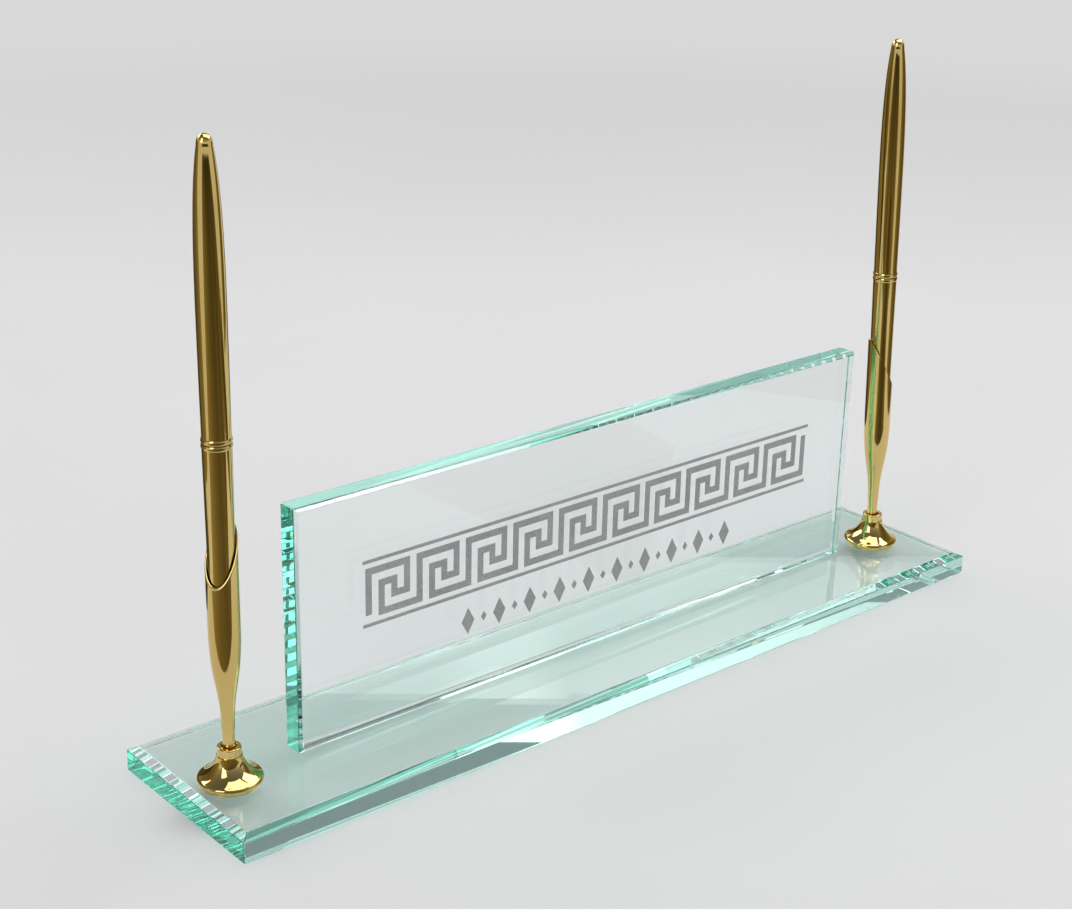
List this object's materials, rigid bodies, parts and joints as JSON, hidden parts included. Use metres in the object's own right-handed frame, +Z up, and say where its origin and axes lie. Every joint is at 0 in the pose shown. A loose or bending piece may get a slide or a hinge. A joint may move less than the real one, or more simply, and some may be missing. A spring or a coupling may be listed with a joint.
{
  "type": "desk name plate",
  "caption": "Desk name plate: bevelled glass upright bonded to a bevelled glass base, with a slim gold twist pen in a ball-swivel funnel holder at each end.",
  "frame": {"origin": "on the desk, under the middle of the base", "axes": "+X along the base to the right, -Y the way the face of the upright looks, +Z up"},
  "size_m": [0.3, 0.062, 0.1885],
  "materials": {
    "jade_glass": "polished clear float glass, green at the edges",
    "clear_adhesive": "clear cured adhesive",
    "polished_gold": "polished gold plate on brass",
    "plain_brass": "turned brass",
    "steel": "plain steel",
    "nylon": "natural nylon",
    "refill_plastic": "dark ink tube"
  },
  "bodies": {
    "stand": {"base_plate": "jade_glass", "upright_plate": "jade_glass", "plate_bond": "clear_adhesive", "left_bell_pad": "clear_adhesive", "left_closing_disc": "steel", "left_spring_washer": "steel", "left_bell": "polished_gold", "left_collar": "polished_gold", "right_bell_pad": "clear_adhesive", "right_closing_disc": "steel", "right_spring_washer": "steel", "right_bell": "polished_gold", "right_collar": "polished_gold"},
    "left_swivel_cup": {"left_friction_cup": "nylon"},
    "left_holder": {"left_ball_stud": "polished_gold", "left_funnel": "polished_gold"},
    "left_pen": {"left_lower_barrel": "polished_gold", "left_lower_ring": "polished_gold", "left_twist_sleeve": "plain_brass"},
    "left_pen_top": {"left_upper_barrel": "polished_gold", "left_upper_ring": "polished_gold", "left_finial": "polished_gold", "left_drive_screw": "steel"},
    "left_refill": {"left_plunger": "nylon", "left_refill_tube": "refill_plastic", "left_refill_tip": "plain_brass"},
    "right_swivel_cup": {"right_friction_cup": "nylon"},
    "right_holder": {"right_ball_stud": "polished_gold", "right_funnel": "polished_gold"},
    "right_pen": {"right_lower_barrel": "polished_gold", "right_lower_ring": "polished_gold", "right_twist_sleeve": "plain_brass"},
    "right_pen_top": {"right_upper_barrel": "polished_gold", "right_upper_ring": "polished_gold", "right_finial": "polished_gold", "right_drive_screw": "steel"},
    "right_refill": {"right_plunger": "nylon", "right_refill_tube": "refill_plastic", "right_refill_tip": "plain_brass"}
  },
  "joints": [
    {"name": "left_swivel_turn", "type": "hinge", "parent": "stand", "child": "left_swivel_cup", "pos_m": [-0.1375, -0.0045, 0.0166], "axis": [0, 0, 1], "continuous": true},
    {"name": "left_swivel_tilt", "type": "hinge", "parent": "left_swivel_cup", "child": "left_holder", "pos_m": [-0.1375, -0.0045, 0.0166], "axis": [0, 1, 0], "range_deg": [-8, 8]},
    {"name": "left_pen_lift", "type": "slide", "parent": "left_holder", "child": "left_pen", "axis": [0, 0, 1], "range_m": [0, 0.05]},
    {"name": "left_pen_twist", "type": "hinge", "parent": "left_pen", "child": "left_pen_top", "pos_m": [-0.1375, -0.0045, 0.0166], "axis": [0, 0, 1], "range_deg": [0, 180]},
    {"name": "left_refill_feed", "type": "slide", "parent": "left_pen", "child": "left_refill", "axis": [0, 0, -1], "range_m": [0, 0.003]},
    {"name": "right_swivel_turn", "type": "hinge", "parent": "stand", "child": "right_swivel_cup", "pos_m": [0.13, -0.0045, 0.0166], "axis": [0, 0, 1], "continuous": true},
    {"name": "right_swivel_tilt", "type": "hinge", "parent": "right_swivel_cup", "child": "right_holder", "pos_m": [0.13, -0.0045, 0.0166], "axis": [0, 1, 0], "range_deg": [-5, 11]},
    {"name": "right_pen_lift", "type": "slide", "parent": "right_holder", "child": "right_pen", "axis": [-0.0523, 0, 0.9986], "range_m": [0, 0.05]},
    {"name": "right_pen_twist", "type": "hinge", "parent": "right_pen", "child": "right_pen_top", "pos_m": [0.13, -0.0045, 0.0166], "axis": [-0.0523, 0, 0.9986], "range_deg": [0, 180]},
    {"name": "right_refill_feed", "type": "slide", "parent": "right_pen", "child": "right_refill", "axis": [0.0523, 0, -0.9986], "range_m": [0, 0.003]}
  ],
  "couplings": [
    {"joint": "left_refill_feed", "follows": "left_pen_twist", "m_per_rad": 0.00095492},
    {"joint": "right_refill_feed", "follows": "right_pen_twist", "m_per_rad": 0.00095492}
  ]
}
